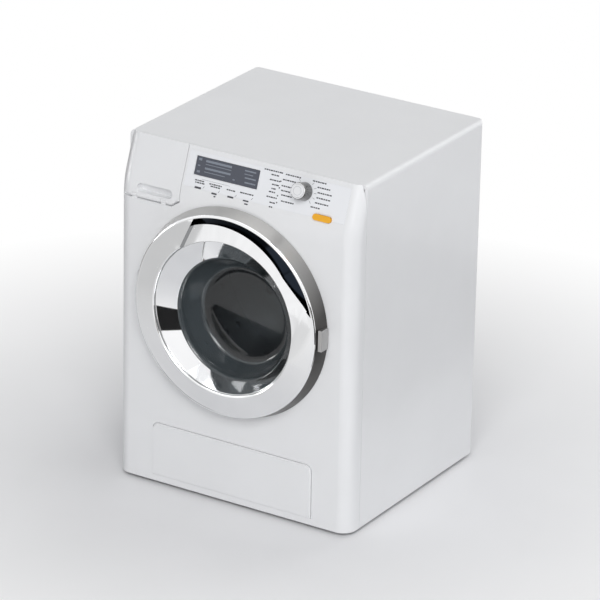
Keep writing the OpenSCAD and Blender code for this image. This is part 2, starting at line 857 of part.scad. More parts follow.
module bowl_space(t) {
    hull() {
        translate([0, bowl_drop, bowl_seat + (t > 0 ? 0.2 : 0)])
            cylinder(r = bowl_r - 0.6 + t, h = eps, $fn = 64);
        translate([0, bowl_drop + bottom_drop * 0.5, bowl_depth * 0.55])
            cylinder(r = bowl_r - 5 + t * 0.8, h = eps, $fn = 64);
        translate([0, bowl_drop + bottom_drop * 0.9, bowl_depth - 1.6 + t * 0.7])
            cylinder(r = bowl_bottom_r + 2.2 + t * 0.5, h = eps, $fn = 64);
        translate([0, bowl_drop + bottom_drop, bowl_depth + t])
            cylinder(r = bowl_bottom_r, h = eps, $fn = 64);
    }
}

back_r = ring_r - ring_wall - 0.9;
arm_h = 2.8;

// Inner ring that closes the door from behind and clamps the bowl
module door_back() {
    color([0.9, 0.9, 0.91])
    at_door() difference() {
        union() {
            translate([0, 0, -2.4]) cylinder(r = back_r, h = 2);
            translate([0, bowl_drop, -0.5]) cylinder(r = bowl_r + 6, h = 5.5);
            // knuckle and its arm
            translate([hinge_x, -knuckle_h / 2, hinge_y - front_y]) rotate([-90, 0, 0])
                cylinder(r = knuckle_r, h = knuckle_h);
            translate([hinge_x, -knuckle_h / 2, hinge_y - front_y - 1.2]) cube([9, knuckle_h, arm_h]);
        }
        // passage of the bowl, with a seat for its flange
        translate([0, bowl_drop, -3]) cylinder(r = bowl_r + 1.8, h = 9);
        translate([0, bowl_drop, -3]) cylinder(r = bowl_r + 3, h = 3 + 0.1);
        for (s = [-1, 1]) translate([hinge_x - 3.4, s > 0 ? knuckle_h / 2 :
            -knuckle_h / 2 - lug_h - 1.4, -8])
            cube([3.4 + knuckle_r + 0.8, lug_h + 1.4, 12]);
        translate([hinge_x, -knuckle_h, hinge_y - front_y]) rotate([-90, 0, 0])
            cylinder(r = pin_r + run_gap, h = 2 * knuckle_h);
    }
}

hook_x = 57.4;

// Spring hook that holds the door shut
module door_hook() {
    color([0.9, 0.9, 0.91])
    at_door() {
        translate([hook_x, -5, ring_foot + 0.02]) cube([1.8, 10, 7.4]);
        translate([hook_x + 1.79, 5, 4.4]) rotate([90, 0, 0]) linear_extrude(height = 10)
            polygon([[0, 0], [1.6, 0], [0, 2.6]]);
    }
}

// Finger tab on the ring's wall at the free side
module door_tab() {
    color([0.8, 0.8, 0.82])
    at_door() difference() {
        translate([ring_r - 2, -7.5, -rim_h + 2.4]) cube([2.8, 15, rim_h - 3.4]);
        rotate_extrude() polygon([[60, -30], [rim_r + 0.3, -30], [rim_r + 0.3, -rim_h + 1.4],
                                  [ring_r + 0.1, ring_foot], [ring_r + 0.1, 5], [60, 5]]);
    }
}

module hinge_bracket() {
    color([0.85, 0.85, 0.86])
    at_door() difference() {
        union() {
            for (s = [-1, 1]) {
                z0 = s * (knuckle_h / 2 + 0.4 + lug_h / 2) - lug_h / 2;
                translate([hinge_x, z0, hinge_y - front_y]) rotate([-90, 0, 0])
                    cylinder(r = knuckle_r, h = lug_h);
                translate([hinge_x - knuckle_r, z0, hinge_y - front_y])
                    cube([2 * knuckle_r, lug_h, wall - hinge_y + front_y + 1]);
            }
            translate([hinge_x - 6, -knuckle_h / 2 - lug_h - 3, wall])
                cube([12, knuckle_h + 2 * lug_h + 6, 2.4]);
        }
        translate([hinge_x, -20, hinge_y - front_y]) rotate([-90, 0, 0]) cylinder(r = pin_r + 0.02, h = 40);
    }
}

module hinge_pin() {
    color([0.75, 0.75, 0.77])
    at_door() translate([hinge_x, -knuckle_h / 2 - lug_h, hinge_y - front_y]) rotate([-90, 0, 0])
        cylinder(r = pin_r, h = knuckle_h + 2 * lug_h);
}

// Striker behind the panel that the hook snaps over
module latch_catch() {
    color([0.85, 0.85, 0.86])
    translate([0, front_y + wall, door_z]) {
        translate([hook_x + 6, 0.02, -8]) cube([3.6, 6.6, 16]);
        translate([hook_x + 4, 0.02, -8]) cube([2.1, 3.6, 16]);
    }
}

// Rubber lip between the door and the tub's neck
// the seal's lip clears the front panel's collar, which stands 5 mm behind the wall
seal_lip = wall + 5.2;

module door_seal() {
    color([0.45, 0.46, 0.48])
    facing(0, front_y, drum_z) rotate_extrude() polygon([
        [eye_hole_r - 0.05, 0.3], [eye_hole_r - 0.05, seal_lip], [eye_hole_r + 1.9, seal_lip],
        [eye_hole_r + 1.9, seal_lip + 1.2], [eye_hole_r - 1.6, seal_lip + 1.2], [eye_hole_r - 1.6, 0.3]]);
}

// ---------- tub and drum ----------

module tub() {
    neck_r = eye_hole_r + 2.1;
    color([0.8, 0.83, 0.86])
    difference() {
        union() {
            facing(0, 0, drum_z) rotate_extrude() polygon([
                [neck_r, front_y + wall + 0.1], [neck_r + 2, front_y + wall + 0.1], [neck_r + 2, tub_front],
                [tub_r, tub_front], [tub_r, tub_back], [9, tub_back], [9, boss_back],
                [shaft_r + 2.52, boss_back], [shaft_r + 2.52, tub_back - 2],
                [tub_r - 2, tub_back - 2], [tub_r - 2, tub_front + 2], [neck_r, tub_front + 2]]);
            // outlet nozzle, inlet collar and the boss of the idler pin
            translate([hose_x, drum_back - 8, drain_z + hose_r]) cylinder(r = 4, h = 12);
            translate([funnel_x, funnel_y, inlet_z() - 5]) cylinder(r = 8, h = 7);
            facing(idler_x, tub_back - eps, idler_z) cylinder(r = 4.5, h = 6);
        }
        translate([hose_x, drum_back - 8, drain_z]) cylinder(r = 2.8, h = 40);
        translate([funnel_x, funnel_y, inlet_z() - 30]) cylinder(r = 5.65, h = 60);
        facing(0, tub_front + 2, drum_z) cylinder(r = tub_r - 2 - eps, h = tub_back - 4 - tub_front);
        facing(idler_x, tub_back - 0.5, idler_z) cylinder(r = 1.52, h = 20);
    }
}

function inlet_z() = drum_z + sqrt(pow(tub_r, 2) - pow(funnel_x, 2));

module drum() {
    color([0.75, 0.76, 0.78])
    facing(0, 0, drum_z) difference() {
        rotate_extrude() polygon([
            [eye_hole_r - 2, drum_front], [drum_r, drum_front], [drum_r, drum_back],
                [shaft_r + 0.01, drum_back],
            [shaft_r + 0.01, drum_back - 6], [9, drum_back - 6], [12, drum_back - 2],
                [drum_r - 1.6, drum_back - 2],
            [drum_r - 1.6, drum_front + 1.6], [eye_hole_r - 2, drum_front + 1.6]]);
        for (i = [0:hole_rows - 1], k = [1:5])
            if (i % (hole_rows / 3) != 0)
                rotate(i * 360 / hole_rows + 90) translate([drum_r - 5, 0, drum_front + k * drum_len / 6])
                    rotate([0, 90, 0]) cylinder(r = 2, h = 10, $fn = 24);
        for (i = [0:5]) rotate(i * 60 + 30) translate([drum_r * 0.55, 0, drum_back - 5])
            cylinder(r = 4, h = 8, $fn = 32);
    }
}

// Three lifters inside the drum
module drum_ribs() {
    color([0.9, 0.9, 0.91])
    facing(0, 0, drum_z) intersection() {
        for (i = [0:2]) rotate(i * 120 + 90) translate([0, 0, drum_front + 6])
            linear_extrude(height = drum_len - 14)
            polygon([[drum_r - 1.4, -7], [drum_r - 14, -2], [drum_r - 15, 0], [drum_r - 14, 2],
                [drum_r - 1.4, 7],
                     [drum_r, 0]]);
        cylinder(r = drum_r - 1.75, h = 400, center = true);
    }
}

module drum_shaft() {
    color([0.75, 0.75, 0.77])
    facing(0, drum_back - 5, drum_z) cylinder(r = shaft_r, h = plate_y + 2 - drum_back + 5);
}

module shaft_bushes() {
    color([0.72, 0.55, 0.25])
    facing(0, 0, drum_z) for (y = [tub_back - 1.9, boss_back - 4]) translate([0, 0, y]) {
        ring(shaft_r + 2.5, shaft_r + run_gap, 4);
    }
}

// ---------- gear train ----------

// Wheel with straight-flanked teeth
module wheel(teeth, h, bore, turn) {
    pitch = gear_m * teeth / 2;
    root = pitch - 1.2 * gear_m;
    tip = pitch + 0.92 * gear_m;
    step = 360 / teeth;
    half = step * 0.235;
    difference() {
        linear_extrude(height = h) rotate(turn) polygon([for (i = [0:teeth - 1], p = [
            [root, -half * 1.75], [pitch, -half], [tip, -half * 0.42], [tip, half * 0.42], [pitch, half],
            [root, half * 1.75]]) [p[0] * cos(i * step + p[1]), p[0] * sin(i * step + p[1])]]);
        translate([0, 0, -1]) cylinder(r = bore, h = h + 2);
    }
}

// Directions of the gear centres as drawn on a wheel's own plane
drum_to_idler = -idler_turn;
idler_to_motor = -motor_turn;

module drum_gear() {
    color([0.92, 0.92, 0.88])
    facing(0, gear1_y, drum_z) difference() {
        union() {
            wheel(drum_teeth, gear_w, shaft_r, drum_to_idler);
            translate([0, 0, -4]) ring(7, shaft_r, gear_w + 6);
        }
        // lightening pockets between the hub and the rim
        for (i = [0:5]) rotate(i * 60) translate([drum_teeth * gear_m * 0.3, 0, -1])
            cylinder(r = 5, h = gear_w + 2);
    }
}

idler_phase = drum_to_idler + 180 + 180 / idler_small_teeth;

module idler_gear() {
    color([0.95, 0.95, 0.92])
    facing(idler_x, 0, idler_z) {
        translate([0, 0, gear1_y - 0.5]) wheel(idler_small_teeth, gear_w + 2, 1.5 + run_gap, idler_phase);
        translate([0, 0, gear1_y + gear_w + 1]) ring(4.6, 1.5 + run_gap, gear2_y - gear1_y - gear_w - 1);
        translate([0, 0, gear2_y]) wheel(idler_large_teeth, gear_w - 1, 1.5 + run_gap, idler_to_motor);
    }
}

module idler_pin() {
    color([0.75, 0.75, 0.77])
    facing(idler_x, tub_back - 0.4, idler_z) cylinder(r = 1.5, h = plate_y + 2 - tub_back + 0.4);
}

module motor() {
    color([0.7, 0.71, 0.73])
    facing(motor_x, 0, motor_z) {
        translate([0, 0, motor_front()]) cylinder(r = motor_r, h = motor_len);
        translate([0, 0, motor_front() + motor_len]) cylinder(r = 3, h = 1.6);
    }
}

function motor_front() = gear2_y - 3 - motor_len;

module motor_pinion() {
    color([0.75, 0.6, 0.3])
    facing(motor_x, 0, motor_z) {
        translate([0, 0, gear2_y - 0.5])
            wheel(pinion_teeth, gear_w, 1, idler_to_motor + 180 + 180 / pinion_teeth);
        translate([0, 0, motor_front() + motor_len + 1.7]) cylinder(r = 1, h = gear_w + 2.2);
    }
}

// Cradle on the tub's back that clamps the motor
module motor_cradle() {
    color([0.8, 0.83, 0.86])
    facing(motor_x, tub_back + 0.02, motor_z) ring(motor_r + 2.4, motor_r + 0.02, motor_front()
        + 14 - tub_back);
}

plate_posts = [[-38, 4], [22, 40], [50, -14]];

// Plate behind the gears, on three posts from the tub's back
module gear_plate() {
    color([0.8, 0.83, 0.86])
    difference() {
        union() {
            hull() {
                for (p = plate_posts) facing(p[0], plate_y, drum_z + p[1]) cylinder(r = 5, h = 2, $fn = 32);
                facing(idler_x, plate_y, idler_z) cylinder(r = 6, h = 2, $fn = 32);
            }
            for (p = plate_posts) facing(p[0], tub_back + 0.02, drum_z + p[1])
                cylinder(r = 3, h = plate_y - tub_back);
        }
        facing(0, plate_y - 1, drum_z) cylinder(r = shaft_r + run_gap, h = 10);
        facing(idler_x, plate_y - 1, idler_z) cylinder(r = 1.52, h = 10);
    }
}

// ---------- power ----------

module battery_box() {
    color([0.2, 0.2, 0.22])
    translate([0, bay_y, foot_h + 2 * wall + 0.05]) difference() {
        translate([-bay_w / 2 - 1.6, -1.6, 0]) cube([bay_w + 3.2, bay_d + 3.2, bay_h]);
        translate([-bay_w / 2, 0, -1]) cube([bay_w, bay_d, bay_h - 0.6]);
    }
}

module batteries() {
    color([0.15, 0.5, 0.35])
    for (i = [0:3]) translate([(i - 1.5) * (2 * cell_r + 0.6), bay_y + 4, foot_h + 2 * wall + cell_r + 1])
        rotate([-90, 0, 0]) {
            cylinder(r = cell_r, h = cell_len - 1.5);
            translate([0, 0, cell_len - 1.5]) cylinder(r = 2.6, h = 1.5);
        }
}

module battery_contacts() {
    color([0.8, 0.75, 0.6])
    for (i = [0:3], y = [bay_y + 0.1, bay_y + bay_d - 0.6])
        translate([(i - 1.5) * (2 * cell_r + 0.6) - 5, y, foot_h + 2 * wall + 2]) {
            cube([10, 0.5, 10]);
            translate([3, y < bay_y + 10 ? 0.4 : -3.3, 3]) cube([4, y < bay_y + 10 ? 3.5 : 3.4, 4]);
        }
}

module battery_cover() {
    color([0.85, 0.85, 0.86])
    translate([0, bay_y, foot_h + wall]) {
        translate([-bay_w / 2 + 0.3, 0.3, 0]) cube([bay_w - 0.6, bay_d - 0.6, wall]);
        for (i = [-1:1]) translate([i * 14 - 0.8, 6, wall - eps]) cube([1.6, bay_d - 12, 0.8]);
    }
}

// ---------- drain ----------

module drain_pipe() {
    color([0.95, 0.95, 0.96])
    difference() {
        union() {
            translate([0, drain_y, drain_z]) cylinder(r = drain_r, h = drain_len);
            translate([-slot_w / 2 + 0.4, drain_y, drain_z]) rotate([0, 90, 0])
                cylinder(r = drain_r, h = slot_w - 0.8);
            translate([-slot_w / 2 - slot_wall - 4, drain_y, drain_z]) rotate([0, 90, 0])
                cylinder(r = journal_r, h = slot_w + 2 * slot_wall + 4);
            translate([0, drain_y, drain_z + drain_len - 5]) cylinder(r = drain_r + 1, h = 5);
        }
        translate([0, drain_y, drain_z]) cylinder(r = drain_r - 1.6, h = drain_len + 1);
        translate([-slot_w, drain_y, drain_z]) rotate([0, 90, 0]) cylinder(r = 2.6, h = slot_w);
    }
}

// Hose from the tub's outlet to the pivot of the drain pipe
module drain_hose() {
    y0 = drum_back - 8;
    color([0.3, 0.3, 0.32])
    difference() {
        union() {
            translate([hose_x, y0, drain_z]) cylinder(r = hose_r, h = hose_r + 6);
            translate([hose_x, y0, drain_z]) sphere(r = hose_r);
            facing(hose_x, y0, drain_z) cylinder(r = hose_r, h = drain_y - y0);
            translate([hose_x, drain_y, drain_z]) sphere(r = hose_r);
            translate([hose_x, drain_y, drain_z]) rotate([0, 90, 0])
                cylinder(r = hose_r, h = -hose_x - slot_w / 2 - slot_wall - 2.4);
        }
        translate([hose_x, y0, drain_z]) cylinder(r = journal_r + run_gap, h = hose_r + 7);
        facing(hose_x, y0, drain_z) cylinder(r = journal_r, h = drain_y - y0);
        translate([hose_x, drain_y, drain_z]) rotate([0, 90, 0]) cylinder(r = journal_r + run_gap, h = 40);
        for (y = [y0, drain_y]) translate([hose_x, y, drain_z]) sphere(r = journal_r);
    }
}

module drain_seal() {
    color([0.15, 0.15, 0.16])
    translate([-slot_w / 2 - slot_wall - 2.3, drain_y, drain_z]) rotate([0, 90, 0])
        ring(hose_r, journal_r + run_gap, 2.2);
}

// ---------- drawing ----------

housing();
front_panel();
plinth_panel();
rear_panel();
base_plate();
feet();
rear_screws();
control_label();
display_window();
knob_body();
knob_cap();
knob_shaft();
detent_wheel();
detent_spring();
start_button();
start_switch();
circuit_board();
board_posts();
drawer_front();
drawer_cup();
drawer_pin();
drawer_funnel();
door_ring();
door_funnel();
door_bowl();
door_back();
door_hook();
door_tab();
hinge_bracket();
hinge_pin();
latch_catch();
door_seal();
tub();
drum();
drum_ribs();
drum_shaft();
shaft_bushes();
drum_gear();
idler_gear();
idler_pin();
motor();
motor_pinion();
motor_cradle();
gear_plate();
speaker();
battery_box();
batteries();
battery_contacts();
battery_cover();
drain_pipe();
drain_hose();
drain_seal();
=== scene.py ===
import json
import math

import bmesh
import bpy
from mathutils import Matrix, Vector


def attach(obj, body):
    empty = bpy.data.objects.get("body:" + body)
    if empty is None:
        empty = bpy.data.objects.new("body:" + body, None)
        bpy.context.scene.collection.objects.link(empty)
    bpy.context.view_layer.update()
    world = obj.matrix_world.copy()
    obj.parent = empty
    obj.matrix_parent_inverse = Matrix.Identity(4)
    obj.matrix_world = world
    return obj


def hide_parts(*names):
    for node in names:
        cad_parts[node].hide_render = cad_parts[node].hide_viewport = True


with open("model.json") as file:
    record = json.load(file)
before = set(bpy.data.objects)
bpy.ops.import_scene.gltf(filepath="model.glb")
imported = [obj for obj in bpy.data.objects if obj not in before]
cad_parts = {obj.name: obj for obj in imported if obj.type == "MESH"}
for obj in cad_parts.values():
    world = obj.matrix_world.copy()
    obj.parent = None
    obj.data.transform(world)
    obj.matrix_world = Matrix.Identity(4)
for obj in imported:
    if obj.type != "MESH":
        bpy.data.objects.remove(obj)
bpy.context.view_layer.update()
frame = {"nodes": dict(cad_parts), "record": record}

MM = 0.001
BODY_H = 248.0

# Places shared with the CAD source, in millimetres; depths run back from the front face at FRONT_Y
FRONT_Y = -75.75
LEAN = math.radians(20.3)
LEAN_R = 50.0
SEAM_Z = 206.0
ARC_BACK = LEAN_R * (1 - math.cos(LEAN))
SLOPE_Z = SEAM_Z + LEAN_R * math.sin(LEAN)
SLOPE_LEN = (BODY_H - SLOPE_Z) / math.cos(LEAN)
MID_V = SLOPE_LEN * 0.535  # height of the knob's axis up the slope
DOOR_Z = 142.0
RING_R, RIM_R, EYE_R = 74.0, 71.0, 54.0
RIM_H, PROJ, EDGE_R, RING_WALL = 11.5, 14.5, 1.6, 2.0
RING_FOOT, BOWL_SEAT = -0.4, -1.5
BOWL_R, BOWL_BOTTOM_R, BOWL_DEPTH = 43.5, 29.0, 17.0
BOWL_DROP, BOTTOM_DROP = 4.8, 2.7
BOWL_WALL_T = 1.4
GRIP_DEPTH = 7.0
KNOB_X, KNOB_FOOT, KNOB_H = 48.9, 0.6, 9.2


# ---------- node helpers ----------

def new_material(name):
    mat = bpy.data.materials.new(name)
    mat.use_nodes = True
    mat.node_tree.nodes.clear()
    return mat, Graph(mat.node_tree)


class Graph:
    """Short calls for adding and joining shader nodes."""

    def __init__(self, tree):
        self.tree = tree

    def add(self, kind, **values):
        node = self.tree.nodes.new("ShaderNode" + kind)
        for key, value in values.items():
            if hasattr(node, key) and key not in node.inputs:
                setattr(node, key, value)
            else:
                self.put(node.inputs[key.replace("_", " ")], value)
        return node

    def put(self, socket, value):
        """Links an output to a socket, or sets a constant on it."""
        if isinstance(value, bpy.types.NodeSocket):
            self.tree.links.new(value, socket)
        elif isinstance(value, (tuple, list)) and len(value) == 3 and socket.type == "RGBA":
            socket.default_value = (*value, 1.0)
        else:
            socket.default_value = value

    def place(self):
        """The point on the piece, in metres."""
        return self.add("TexCoord").outputs["Object"]

    def noise(self, scale, detail=3.0, rough=0.5, stretch=None):
        vector = self.place()
        if stretch:
            mapping = self.add("Mapping", Vector=vector)
            mapping.inputs["Scale"].default_value = stretch
            vector = mapping.outputs[0]
        return self.add("TexNoise", Vector=vector, Scale=scale, Detail=detail, Roughness=rough).outputs["Fac"]

    def span(self, value, low, high, start=0.0, end=1.0):
        """Maps start..end to low..high."""
        node = self.add("MapRange", Value=value)
        for name, number in (("From Min", start), ("From Max", end), ("To Min", low), ("To Max", high)):
            node.inputs[name].default_value = number
        return node.outputs[0]

    def drift(self, noise, low, high):
        """Spreads the middle of a noise over low..high."""
        return self.span(noise, low, high, 0.3, 0.7)

    def surface(self, tone, rough):
        return self.add("BsdfPrincipled", **{"Base Color": tone, "Roughness": rough})

    def blend(self, factor, first, second):
        node = self.tree.nodes.new("ShaderNodeMix")
        node.data_type = "RGBA"
        self.put(node.inputs[0], factor)
        self.put(node.inputs[6], first)
        self.put(node.inputs[7], second)
        return node.outputs[2]

    def bump(self, height, strength, distance, normal=None):
        node = self.add("Bump", Height=height)
        node.inputs["Strength"].default_value = strength
        node.inputs["Distance"].default_value = distance
        if normal:
            self.put(node.inputs["Normal"], normal)
        return node.outputs[0]

    def finish(self, shader):
        out = self.tree.nodes.new("ShaderNodeOutputMaterial")
        self.tree.links.new(shader.outputs[0], out.inputs[0])


def shade(color, by):
    return tuple(min(1.0, c * by) for c in color)


def plastic(name, color, rough=0.35, grain=0.0, coat=0.0, mottle=0.012):
    """Moulded plastic: slow tone drift, satin variation, and a fine mould grain."""
    mat, g = new_material(name)
    slow = g.noise(18.0, 4.0, 0.55)
    tone = g.blend(g.span(slow, 0.0, 1.0, 0.35, 0.65), shade(color, 1 - mottle), shade(color, 1 + mottle))
    satin = g.noise(26.0, 2.0, 0.5)
    shader = g.surface(tone, g.drift(satin, rough * 0.92, rough * 1.08))
    shader.inputs["IOR"].default_value = 1.5
    if coat:
        shader.inputs["Coat Weight"].default_value = coat
        shader.inputs["Coat Roughness"].default_value = 0.08
    normal = g.bump(g.noise(30.0, 2.0, 0.4), 0.06, 0.0006)
    if grain:
        normal = g.bump(g.noise(4200.0, 2.0, 0.55), grain, 0.00004, normal)
    g.put(shader.inputs["Normal"], normal)
    g.finish(shader)
    return mat


def metal(name, color, rough=0.2, brush=None, wave=0.0):
    """Metal or plated plastic, with rubbed roughness and, where brushed, fine lines along one axis."""
    mat, g = new_material(name)
    rub = g.noise(30.0, 2.0, 0.5)
    tone = g.blend(g.drift(rub, 0.0, 1.0), shade(color, 0.97), shade(color, 1.02))
    shader = g.surface(tone, g.drift(rub, rough * 0.8, rough * 1.3))
    shader.inputs["Metallic"].default_value = 1.0
    normal = None
    if wave:
        normal = g.bump(g.noise(22.0, 1.0, 0.3), wave, 0.0008)
    if brush:
        normal = g.bump(g.noise(1.0, 2.0, 0.5, stretch=brush), 0.15, 0.00003, normal)
    if normal:
        g.put(shader.inputs["Normal"], normal)
    g.finish(shader)
    return mat


def painted_shade_metal(name, left, right, rough):
    """Satin plating with painted shade: its colour darkens evenly from the door's upper left to its lower
    right, standing in for the shade and darker reflections there.
    """
    mat, g = new_material(name)
    fall = 0.35
    split = g.add("SeparateXYZ", Vector=g.place())
    slope = g.add("Math", operation="MULTIPLY_ADD")
    for socket, value in zip(slope.inputs, (split.outputs["Z"], -fall, split.outputs["X"])):
        g.put(socket, value)
    rub = g.noise(30.0, 2.0, 0.5)
    shift = fall * DOOR_Z * MM
    tone = g.blend(g.span(slope.outputs[0], 0.0, 1.0, 0.02 - shift, 0.066 - shift), left, right)
    shader = g.surface(tone, g.drift(rub, rough * 0.8, rough * 1.3))
    shader.inputs["Metallic"].default_value = 1.0
    g.finish(shader)
    return mat


def rubber(name, color, rough=0.75):
    """Matt rubber with a fine grain."""
    mat, g = new_material(name)
    grain = g.noise(900.0, 4.0, 0.6)
    tone = g.blend(g.drift(grain, 0.0, 1.0), shade(color, 0.85), shade(color, 1.15))
    shader = g.surface(tone, g.drift(grain, rough * 0.9, rough))
    g.put(shader.inputs["Normal"], g.bump(grain, 0.3, 0.0001))
    g.finish(shader)
    return mat


def clear(name, tint, rough=0.02, weight=1.0, ior=1.45):
    """Tinted clear plastic with a slight haze; a weight under 1 makes it milky."""
    mat, g = new_material(name)
    haze = g.noise(35.0, 4.0, 0.6)
    tone = g.blend(g.drift(haze, 0.0, 1.0), shade(tint, 0.96), shade(tint, 1.04))
    shader = g.surface(tone, g.drift(haze, rough, rough * 2.0))
    shader.inputs["Transmission Weight"].default_value = weight
    shader.inputs["IOR"].default_value = ior
    g.finish(shader)
    return mat


WHITE = (0.86, 0.865, 0.875)
MATS = {
    "white_shell": plastic("white_shell", WHITE, 0.3, coat=0.15),
    "pale_grey": plastic("pale_grey", (0.62, 0.62, 0.64), 0.4, grain=0.15),
    "label_film": plastic("label_film", (0.89, 0.9, 0.925), 0.25, mottle=0.008),
    "display_glass": plastic("display_glass", (0.055, 0.063, 0.088), 0.14, coat=0.4),
    "chrome_ring": metal("chrome_ring", (0.93, 0.935, 0.945), 0.045, wave=0.05),
    "silver_plastic": metal("silver_plastic", (0.215, 0.215, 0.213), 0.22, brush=(60.0, 60.0, 60.0)),
    "smoked_glass": clear("smoked_glass", (0.165, 0.19, 0.215), ior=1.56),
    "drum_metal": metal("drum_metal", (0.6, 0.565, 0.52), 0.34, brush=(300.0, 6.0, 300.0)),
    "tub_plastic": plastic("tub_plastic", (0.7, 0.71, 0.72), 0.45, grain=0.2),
    "gear_plastic": plastic("gear_plastic", (0.8, 0.76, 0.62), 0.42, grain=0.1),
    "orange_plastic": plastic("orange_plastic", (0.9, 0.43, 0.008), 0.28, coat=0.3),
    "dark_rubber": rubber("dark_rubber", (0.05, 0.05, 0.055)),
    "grey_rubber": rubber("grey_rubber", (0.3, 0.31, 0.33)),
    "steel": metal("steel", (0.62, 0.62, 0.63), 0.3),
    "brass_bush": metal("brass_bush", (0.75, 0.56, 0.27), 0.3),
    "motor_can": metal("motor_can", (0.6, 0.61, 0.63), 0.35),
    "board_green": plastic("board_green", (0.03, 0.2, 0.08), 0.35),
    "black_plastic": plastic("black_plastic", (0.03, 0.03, 0.035), 0.45, grain=0.2),
    "cell_wrap": plastic("cell_wrap", (0.04, 0.24, 0.12), 0.2, coat=0.5),
}
# Painted shade: the ring's side wall fades from light grey metal at the upper left to near black at the lower
# right.
SIDE_WALL_PAINTED_SHADE = painted_shade_metal("ring_side_painted_shade", (0.52, 0.515, 0.505), (0.12, 0.117, 0.115), 0.34)
# Painted shade: a darker copy of the chrome for the crease wall, where shade falls.
CREASE = metal("crease_chrome_painted_shade", (0.33, 0.335, 0.34), 0.12)
# Painted shade: near-black chrome for the grip recess, standing in for the shade and dark reflections in it.
RECESS = metal("recess_chrome_painted_shade", (0.047, 0.054, 0.065), 0.09, wave=0.1)
# Painted shade: a darker, milkier copy of the smoked glass, given to the bowl's slanted wall to stand in for
# the shade on it.
BOWL_WALL = clear("smoked_wall_painted_shade", (0.15, 0.178, 0.195), 0.03, 0.68, 1.56)
PRINT = plastic("print_ink", (0.035, 0.035, 0.045), 0.5)
PRINT_SOFT = plastic("print_grey", (0.2, 0.205, 0.22), 0.5)
PRINT_PALE = plastic("print_pale", (0.56, 0.57, 0.585), 0.4)
GLYPH = plastic("display_glyph", (0.22, 0.245, 0.29), 0.4)
TAB_PLATE = metal("tab_plate", (0.5, 0.495, 0.49), 0.3)


# ---------- mesh helpers ----------

WELD_GAP = 0.000002
BOX_FACES = ((0, 1, 2, 3), (7, 6, 5, 4), (0, 4, 5, 1), (1, 5, 6, 2), (2, 6, 7, 3), (3, 7, 4, 0))


def add_object(name, mesh, mats, body):
    """Links a mesh as a piece; body None keeps it fixed."""
    for mat in mats:
        mesh.materials.append(mat)
    obj = bpy.data.objects.new(name, mesh)
    bpy.context.scene.collection.objects.link(obj)
    if body:
        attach(obj, body)
    return obj


def mesh_from(name, verts, faces, smooth=True):
    """A mesh from points in millimetres, with its normals turned outward."""
    mesh = bpy.data.meshes.new(name)
    mesh.from_pydata([Vector(v) * MM for v in verts], [], faces)
    bm = bmesh.new()
    bm.from_mesh(mesh)
    bmesh.ops.recalc_face_normals(bm, faces=bm.faces)
    bm.to_mesh(mesh)
    bm.free()
    for p in mesh.polygons:
        p.use_smooth = smooth
    return mesh


def loft(rings, closed=True):
    """Faces between rings of equal length; with closed the last ring joins the first."""
    count = len(rings[0])
    verts = [p for ring in rings for p in ring]
    faces = []
    for i in range(len(rings) if closed else len(rings) - 1):
        a, b = i * count, (i + 1) % len(rings) * count
        faces += [(a + j, a + (j + 1) % count, b + (j + 1) % count, b + j) for j in range(count)]
    return verts, faces


def circle_at(radius, depth, drop=0.0, count=256):
    """A circle about the door's axis, depth behind the front face and drop below the axis."""
    return [(radius * math.cos(t), FRONT_Y + depth, DOOR_Z - drop + radius * math.sin(t))
            for t in (2 * math.pi * i / count for i in range(count))]


def arc(cx, cy, r, a0, a1, n):
    """Points on an arc, with its angles in degrees."""
    return [(cx + r * math.cos(a), cy + r * math.sin(a))
            for a in (math.radians(a0 + (a1 - a0) * i / n) for i in range(n + 1))]


def sweep(cx, cy, r, a0, a1, n):
    """Points on an arc, with its angles in radians."""
    return [(cx + r * math.cos(a), cy + r * math.sin(a))
            for a in (a0 + (a1 - a0) * i / n for i in range(n + 1))]


def soften(obj, width=0.25, segments=2, angle=35):
    """Welds a mesh, rounds its sharp edges and gives clean normals."""
    for p in obj.data.polygons:
        p.use_smooth = True
    m = obj.modifiers.new("weld", "WELD")
    m.merge_threshold = WELD_GAP
    if width:
        m = obj.modifiers.new("bevel", "BEVEL")
        m.width = width * MM
        m.segments = segments
        m.limit_method = "ANGLE"
        m.angle_limit = math.radians(angle)
        m.use_clamp_overlap = True
        m.harden_normals = True
    m = obj.modifiers.new("normals", "WEIGHTED_NORMAL")
    m.keep_sharp = True
    m.weight = 60


def apply_modifiers(obj):
    """Bakes the modifiers into the mesh."""
    graph = bpy.context.evaluated_depsgraph_get()
    made = bpy.data.meshes.new_from_object(obj.evaluated_get(graph))
    obj.modifiers.clear()
    obj.data = made


# ---------- carried-over nodes ----------

slot_of = {s["node"]: s["material_slot"] for s in frame["record"]["subparts"]}
for node, obj in frame["nodes"].items():
    obj.data.materials.clear()
    obj.data.materials.append(MATS[slot_of[node]])
    soften(obj)


def white_front(node, like):
    """Gives the faces that look along the fascia's normal the material of another node."""
    obj = frame["nodes"][node]
    obj.data.materials.append(MATS[slot_of[like]])
    outward = Vector((0.0, -math.cos(LEAN), math.sin(LEAN)))
    turn = obj.matrix_world.to_3x3()
    for face in obj.data.polygons:
        face.material_index = int((turn @ face.normal).normalized().dot(outward) > 0.9)


white_front("knob_body", "knob_cap")


# ---------- door ----------

RING_STEPS = 360


def lathe(name, section, mats, body):
    """Revolves a closed section of (radius, depth) points about the door's axis."""
    verts, faces = loft([circle_at(r, d, 0.0, RING_STEPS) for r, d in section])
    return add_object(name, mesh_from(name, verts, faces), mats, body)


def outline_prism(name, outline, depth_a, depth_b, mats):
    """Closed prism from an outline of (x, up) points about the door's axis."""
    rings = [[(x, FRONT_Y + d, DOOR_Z + z) for x, z in outline] for d in (depth_a, depth_b)]
    count = len(outline)
    verts = rings[0] + rings[1]
    faces = [(i, (i + 1) % count, count + (i + 1) % count, count + i) for i in range(count)]
    faces += [tuple(range(count)), tuple(range(count, 2 * count))]
    return add_object(name, mesh_from(name, verts, faces, False), mats, None)


